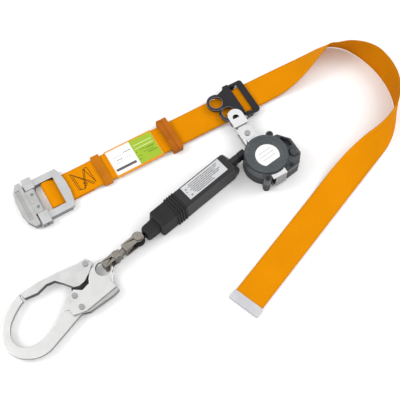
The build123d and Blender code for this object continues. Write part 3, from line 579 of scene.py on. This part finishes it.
# ---- materials on the CAD nodes ----
LOOKS = {
    "belt_tip": (CLIP_STEEL, 0.5), "label_sleeve": (CLEAR, 0.3), "label_white": (WHITE_FILM, 0.05),
    "label_green": (GREEN_FILM, 0.05), "buckle_frame": (BUCKLE_METAL, 1.3),
    "buckle_crossbar": (PIN_STEEL, 0.2), "lever_pin": (PIN_STEEL, 0.4),
    "buckle_lever": (LEVER_METAL, 1.0), "keeper_1": (KEEPER, 0.8), "keeper_2": (KEEPER_DARK, 1.2),
    "d_ring_plate": (BLACK_PAINT, 1.2), "connector_hook": (BRIGHT, 0.7),
    "connector_bolt": (PIN_STEEL, 0.5), "load_frame": (FRAME_STEEL, 0.35),
    "hanger_rivet": (PIN_STEEL, 0.5), "rear_housing": (DARK_HOUSING, 0.8),
    "front_housing": (HOUSING, 1.0), "housing_screws": (DARK_STEEL_AND_SLIT_SHADE, 0.4),
    "front_cover": (COVER_PLASTIC, 0.8), "reel_label": (WHITE_FILM, 0.05), "lock_cap": (HOUSING, 0.3),
    "webbing_guide": (DARK_HOUSING, 0.5), "shaft": (PIN_STEEL, 0.3), "ratchet_ring": (SPRING_METAL_AND_DIMPLE_SHADE, 0.15),
    "spring_case": (DARK_HOUSING, 0.2), "power_spring": (SPRING_METAL_AND_DIMPLE_SHADE, 0.0),
    "drum_bushes": (BRONZE, 0.1), "drum": (ALLOY, 0.2), "drum_flange": (ALLOY, 0.2),
    "pawl_pins": (PIN_STEEL, 0.1), "pawl_1": (SPRING_METAL_AND_DIMPLE_SHADE, 0.2), "pawl_2": (SPRING_METAL_AND_DIMPLE_SHADE, 0.2),
    "absorber_cover": (COVER_BLACK, 1.4), "absorber_boot": (RUBBER_AND_GAP_SHADE, 1.0),
    "absorber_label": (GREY_FILM, 0.05), "neck_boot": (RUBBER_AND_GAP_SHADE, 1.0), "end_thimble": (NICKEL_METAL, 0.4),
    "swivel_yoke": (NICKEL_METAL, 0.8), "yoke_pin": (NICKEL_METAL, 0.6),
    "swivel_stem": (NICKEL_METAL, 1.0), "hook_shackle": (NICKEL_METAL, 0.8),
    "shackle_pin": (NICKEL_METAL, 0.5), "hook_body": (HOOK_METAL, 1.3),
    "hook_side_plates": (HOOK_METAL, 0.5), "hook_rivets": (PIN_STEEL, 0.5),
    "gate_rivet": (PIN_STEEL, 0.5), "hook_gate": (GATE_METAL, 0.6), "safety_lever": (LEVER_METAL, 0.6),
    # gate_buffer is painted shade: a thin black strip standing in for the shade in the gap between the gate
    # and the hook's body
    "gate_buffer": (RUBBER_AND_GAP_SHADE, 0.5),
}
for node, (material, width) in LOOKS.items():
    obj = NODES[node]
    obj.data.materials.clear()
    obj.data.materials.append(material)
    if width:
        soften(obj, width, 3 if width > 0.4 else 2)


# ---- printed marks, generic bars with no lettering ----
BRACKET_TOP = 18.2
SPARE_EYE, LINKED_EYE, EYE_TOP = (110.0, 12.0), (119.0, -15.0), 14.5
EYE_R, EYE_OUTER_R = 10.8, 16.0


def row(a0, a1, b, height, gap, seed):
    """A row of small bars between a0 and a1, their widths varied."""
    pick = random.Random(seed)
    marks = []
    a = a0
    while a < a1 - height:
        width = min(height * pick.uniform(0.6, 1.9), a1 - a)
        marks.append((a, a + width, b, b + height))
        a += width + gap
    return marks


def printed(name, body, spot, top, marks, material):
    """Ink standing a few hundredths of a millimetre above a label. spot turns (a, b, z) into a point."""
    verts, faces = [], []
    for a0, a1, b0, b1 in marks:
        n = len(verts)
        for z in (top - 0.02, top + 0.05):
            verts += [spot(a, b, z) for a, b in ((a0, b0), (a1, b0), (a1, b1), (a0, b1))]
        faces += [(n, n + 3, n + 2, n + 1), (n + 4, n + 5, n + 6, n + 7)]
        faces += [(n + i, n + (i + 1) % 4, n + 4 + (i + 1) % 4, n + 4 + i) for i in range(4)]
    ink = add_mesh(name, verts, faces, material, False)
    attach(ink, body)


def belt_labels():
    """Bars and rules on the white and the green label of the belt."""
    low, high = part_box("label_white")
    x0, x1, top = low[0] / MM, high[0] / MM, high[2] / MM
    mid = (low[1] + high[1]) / 2 / MM

    def spot(a, b, z):
        return Vector((a, mid + b, z)) * MM

    long = x1 - x0
    bar = [(x0 + 0.05 * long, x0 + 0.90 * long, -17.2, -12.6)]
    printed("white_label_bar", "belt", spot, top, bar, INK)
    bits = row(bar[0][0] + 1.5, bar[0][1] - 1.5, -15.6, 1.1, 1.1, 3)
    printed("white_label_bar_marks", "belt", spot, top + 0.06, bits, INK_GREY)
    faint = row(x0 + 0.12 * long, x0 + 0.62 * long, 7.5, 1.3, 0.8, 5)
    faint += row(x0 + 0.20 * long, x0 + 0.50 * long, -4.2, 1.3, 0.8, 6)
    faint += row(x0 + 0.58 * long, x0 + 0.90 * long, -0.5, 1.3, 0.8, 7)
    printed("white_label_faint", "belt", spot, top, faint, INK_PALE)
    dark = row(x0 + 0.62 * long, x0 + 0.94 * long, 9.2, 1.9, 1.0, 8)
    dark += row(x0 + 0.26 * long, x0 + 0.52 * long, 0.6, 1.6, 0.6, 9)
    printed("white_label_dark", "belt", spot, top, dark, INK_GREY)
    low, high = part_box("label_green")
    x0, x1 = low[0] / MM, high[0] / MM
    long = x1 - x0
    light = [(x0 + 0.08 * long, x0 + 0.92 * long, b, b + 0.8) for b in (12.0, 5.0)]
    printed("green_label_light", "belt", spot, top, light, PALE_INK)
    dark = row(x0 + 0.26 * long, x0 + 0.52 * long, 0.4, 1.3, 0.5, 12)
    dark += row(x0 + 0.52 * long, x0 + 0.94 * long, -1.6, 2.3, 0.5, 13)
    dark += row(x0 + 0.05 * long, x0 + 0.14 * long, -2.4, 2.6, 0.5, 14)
    dark += row(x0 + 0.36 * long, x0 + 0.84 * long, -6.4, 1.2, 0.5, 15)
    dark += row(x0 + 0.05 * long, x0 + 0.28 * long, -9.8, 1.4, 0.5, 16)
    dark += row(x0 + 0.52 * long, x0 + 0.92 * long, -10.6, 2.0, 0.6, 17)
    dark += row(x0 + 0.03 * long, x0 + 0.20 * long, -15.8, 1.9, 0.6, 18)
    printed("green_label_dark", "belt", spot, top, dark, GREEN_INK)


def absorber_print():
    """Rows of small bars on the absorber's label."""
    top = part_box("absorber_label")[1][2] / MM
    lines = []
    for n in range(7):
        b = 8.6 - 3.0 * n
        start, end = (184, 243 - 2.5 * (n % 3)) if n < 5 else (188, 226 - 4 * (n % 2))
        lines += row(start - 3.0 * (n % 2), end, b, 1.35, 0.55, 30 + n)
    printed("absorber_lines", "absorber", lanyard, top, lines, INK)
    heads = [(177.0, 180.5, -8.6, -6.0), (174.5, 178.0, 4.0, 7.0), (173.5, 176.0, -0.5, 1.5)]
    printed("absorber_heads", "absorber", lanyard, top, heads, INK_GREY)


def reel_print():
    """Three plain rules on the reel's label, like the lines of an empty form."""
    x, y, top = REEL.x / MM, REEL.y / MM - 3.0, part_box("reel_label")[1][2] / MM
    slope = math.radians(8)

    def spot(a, b, z):
        return Vector((x + a * math.cos(slope) - b * math.sin(slope),
                       y + a * math.sin(slope) + b * math.cos(slope), z)) * MM

    rules = [(-half, half, b, b + 0.7) for b, half in ((8.0, 12.0), (1.5, 14.0), (-5.0, 12.5))]
    printed("reel_rules", "reel", spot, top, rules, INK_GREY)


def plate_of(name, body, spot, outline, low, high, material):
    """A thin flat piece with an outline of (a, b) points."""
    n = len(outline)
    verts = [spot(a, b, z) for z in (low, high) for a, b in outline]
    faces = [tuple(reversed(range(n))), tuple(range(n, 2 * n))]
    faces += [(i, (i + 1) % n, n + (i + 1) % n, n + i) for i in range(n)]
    piece = add_mesh(name, verts, faces, material, False)
    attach(piece, body)
    return piece


def small_details():
    """The lever's grip inset and tab, dark discs of painted shade for its dimples and the bracket's slit,
    and pale wires of painted highlight round the plate's eyes.
    """
    inset = [(-252.6, -28.6), (-245.9, -28.6), (-245.9, 28.6), (-252.6, 28.6)]
    plate_of("grip_inset", "buckle_lever", place, inset, 12.75, 13.1, GRIP_METAL)
    tab = [(-237.5, -2.2), (-234.0, -2.2), (-234.0, 2.2), (-237.5, 2.2)]
    plate_of("lever_tab", "buckle_lever", place, tab, 12.5, 13.3, BUCKLE_METAL)
    # painted shade: the dimples are flat discs of darker metal standing in for the shade in their hollows
    for side in (-1, 1):
        turns = [2 * math.pi * n / 20 for n in range(20)]
        dimple_shade = [(-231 + 2.5 * math.cos(a), 12 * side + 2.5 * math.sin(a)) for a in turns]
        name = "lever_dimple_shade_low" if side < 0 else "lever_dimple_shade_high"
        plate_of(name, "buckle_lever", place, dimple_shade, 11.35, 11.5, SPRING_METAL_AND_DIMPLE_SHADE)
    # painted shade: a thin near-black sheet on the bracket's top stands in for the shade inside its slit
    slit_shade = [(116.5, -80.4), (132.5, -80.4), (132.5, -77.6), (116.5, -77.6)]
    plate_of("bracket_slit_shade", "reel", place, slit_shade, BRACKET_TOP - 0.02, BRACKET_TOP + 0.04, DARK_STEEL_AND_SLIT_SHADE)
    # painted highlight: pale wires along the eyes' edges stand in for the key light caught on their rims
    for name, centre, arcs in (("spare_eye", SPARE_EYE, (70, 290)), ("linked_eye", LINKED_EYE, (170, 265))):
        for edge, radius, span in (("inner", EYE_R + 0.5, (0, 360)), ("outer", EYE_OUTER_R - 0.6, arcs)):
            points = []
            for n in range(33):
                a = math.radians(span[0] + (span[1] - span[0]) * n / 32)
                points.append(place(centre[0] + radius * math.cos(a), centre[1] + radius * math.sin(a),
                                    EYE_TOP - 0.15))
            rim = tube_path(points, 0.35 * MM, name + "_highlight_rim_" + edge, RIM_HIGHLIGHT)
            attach(rim, "d_ring")


belt_labels()
absorber_print()
reel_print()
small_details()


# ---- wound webbing, strap, tear pack and loops ----
ROLL_R, HUB_R, LINE_T, LINE_W = 29.6, 12.5, 1.7, 15.0
LINE_Z = 14.2 + LINE_W / 2
reel_u = (REEL - EYE).dot(ALONG) / MM
reel_v = (REEL - EYE).dot(ASIDE) / MM
line_v = reel_v + ROLL_R + 0.3 + LINE_T / 2


def wound_webbing():
    """The line's turns on the drum, one spiral strip."""
    turns, steps = 9.75, 40             # steps in one turn
    stations = []
    for i in range(int(turns * steps) + 1):
        a = 2 * math.pi * i / steps
        r = (HUB_R + 1.0 + (ROLL_R - HUB_R - 2.0) * i / (turns * steps)) * MM
        out = ALONG * math.cos(a) + ASIDE * math.sin(a)
        stations.append((Vector((REEL.x, REEL.y, LINE_Z * MM)) + out * r, UP, out))
    roll, run = strip("wound_webbing", stations, (LINE_W - 0.4) * MM, 1.45 * MM, BLACK_WEB,
                      BLACK_WEB, 6)
    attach(roll, "drum")
    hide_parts("webbing_roll")


def lifeline():
    """The strap from the drum through the reel's mouth into the absorber."""
    stations = []
    for u in np.linspace(reel_u - 8, 239, 60):
        stations.append((lanyard(u, line_v, LINE_Z), UP, ASIDE))
    strap, run = strip("lifeline_strap", stations, (LINE_W - 0.4) * MM, (LINE_T - 0.2) * MM,
                       BLACK_WEB, BLACK_WEB, 6)
    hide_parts("lifeline_webbing")
    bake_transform(strap)


def tear_pack():
    """The absorber's tear webbing, folded back and forth in its cover."""
    u0, u1, layers, pitch = 119.0, 232.0, 8, 2.45
    v0 = -1.0 - (layers - 1) * pitch / 2
    z = 18
    stations = []
    for layer in range(layers):
        v = v0 + layer * pitch
        ends = (u0, u1) if layer % 2 == 0 else (u1, u0)
        for u in np.linspace(*ends, 30):
            normal = ASIDE if layer % 2 == 0 else -ASIDE
            stations.append((lanyard(u, v, z), UP, normal))
        if layer == layers - 1:
            break
        out = 1 if layer % 2 == 0 else -1
        for angle in np.linspace(0, math.pi, 8)[1:-1]:
            du, dv = out * math.sin(angle), -math.cos(angle)
            centre = lanyard(ends[1] + du * pitch / 2, v + pitch / 2 + dv * pitch / 2, z)
            normal = (ALONG * du + ASIDE * dv) * -out
            stations.append((centre, UP, normal))
    pack, run = strip("tear_pack", stations, 25 * MM, 1.7 * MM, GREY_WEB, GREY_WEB, 6)
    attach(pack, "absorber")
    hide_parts("tear_webbing")


def end_loop():
    """The absorber's end sewn round the thimble."""
    pin = (pin_far - EYE).dot(ALONG) / MM
    stations, r = [], 9.9
    sewn_end, loop_end, z = 112, pin + 9, 12.5
    for u in np.linspace(sewn_end, loop_end, 16):
        stations.append((lanyard(u, 1.2, z), UP, ASIDE))
    for angle in np.linspace(52, 308, 26):
        a = math.radians(angle)
        out = ALONG * math.cos(a) + ASIDE * math.sin(a)
        centre = lanyard(pin, 0, z) + out * r * MM
        stations.append((centre, UP, out))
    for u in np.linspace(loop_end, sewn_end, 16):
        stations.append((lanyard(u, -3.0, z), UP, -ASIDE))
    loop, run = strip("end_loop_strap", stations, 13.6 * MM, 1.5 * MM, BLACK_WEB, BLACK_WEB, 6)
    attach(loop, "absorber")
    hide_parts("end_loop")


wound_webbing()
lifeline()
tear_pack()
end_loop()


# ---- springs ----
def coil(name, base, axis, length, radius, wire, turns):
    """A round-wire helix along an axis."""
    x = axis.orthogonal().normalized()
    y = axis.cross(x)
    points = []
    steps = 16                          # steps in one turn
    for i in range(int(turns * steps) + 1):
        a = 2 * math.pi * i / steps
        share = i / (turns * steps)
        points.append(base + axis * length * share + (x * math.cos(a) + y * math.sin(a)) * radius)
    return tube_path(points, wire, name, SPRING_METAL_AND_DIMPLE_SHADE)


def springs():
    """The gate's and the safety lever's springs."""
    low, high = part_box("gate_spring")
    centre = middle("gate_spring")
    gate = coil("gate_coil", Vector((centre.x, centre.y, low.z + 0.0005)), UP, 0.0020, 0.0053, 0.0004, 3)
    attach(gate, "hook")
    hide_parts("gate_spring")
    base = lanyard(-24, -30.3, 8.5)
    lever = coil("lever_coil", base, -ASIDE, 0.0104, 0.0027, 0.00035, 7)
    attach(lever, "hook")
    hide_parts("lever_spring")
    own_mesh(lever)


springs()


# ---- stage ----
CAMERA_Y = -125                     # aimed at the table here, in the layout frame
CAMERA_TURN, CAMERA_RISE = 30, 65.4
CAMERA_DISTANCE, FIELD_OF_VIEW = 1.267, 28.5522
WORLD_STRENGTH = 0.95
WORLD_GREYS = ((0.05, 0.32), (0.85, 1.0))       # (height in the sky, grey)
LAMPS = (                                       # name, place, size, power
    ("key", (-1.5, 0.9, 1.3), 1.0, 18),
    ("fill", (1.5, -0.1, 1.3), 1.0, 11),
    ("front", (-0.6, -1.5, 0.7), 0.8, 8),
)


def stage():
    """The floor, the sky and the lamps."""
    bpy.ops.mesh.primitive_plane_add(size=30, location=(0, 0, -0.0002))
    floor = bpy.context.object
    floor.name = "floor"
    s = Shader("floor", Roughness=0.9)
    s.set("Base Color", s.ramp(s.noise(3, 2), (0.3, (0.955, 0.955, 0.955)), (0.7, (0.965, 0.965, 0.965))))
    floor.data.materials.append(s.material)
    world = bpy.data.worlds.new("studio")
    bpy.context.scene.world = world
    world.use_nodes = True
    nodes, links = world.node_tree.nodes, world.node_tree.links
    coords = nodes.new("ShaderNodeTexCoord")
    height = nodes.new("ShaderNodeSeparateXYZ")
    links.new(coords.outputs["Generated"], height.inputs[0])
    sky = nodes.new("ShaderNodeValToRGB")
    for element, (position, grey) in zip(sky.color_ramp.elements, WORLD_GREYS):
        element.position = position
        element.color = (grey, grey, grey, 1)
    links.new(height.outputs[2], sky.inputs[0])
    links.new(sky.outputs[0], nodes["Background"].inputs[0])
    nodes["Background"].inputs[1].default_value = WORLD_STRENGTH
    for name, at, size, power in LAMPS:
        light = bpy.data.lights.new(name, "AREA")
        light.size = size
        light.energy = power
        lamp = bpy.data.objects.new(name, light)
        bpy.context.scene.collection.objects.link(lamp)
        lamp.location = at
        lamp.rotation_euler = (-Vector(at)).to_track_quat("-Z", "Y").to_euler()


def camera():
    """Stands south-west of the set and looks down at it."""
    target = place(0, CAMERA_Y, 0)
    turn, rise = math.radians(CAMERA_TURN), math.radians(CAMERA_RISE)
    back = Vector((-math.sin(turn) * math.cos(rise), -math.cos(turn) * math.cos(rise), math.sin(rise)))
    data = bpy.data.cameras.new("camera")
    data.angle = math.radians(FIELD_OF_VIEW)
    cam = bpy.data.objects.new("camera", data)
    bpy.context.scene.collection.objects.link(cam)
    cam.location = target + back * CAMERA_DISTANCE
    cam.rotation_euler = (-back).to_track_quat("-Z", "Y").to_euler()
    bpy.context.scene.camera = cam


stage()
camera()
bpy.context.scene.view_settings.view_transform = "Standard"

bpy.context.view_layer.update()
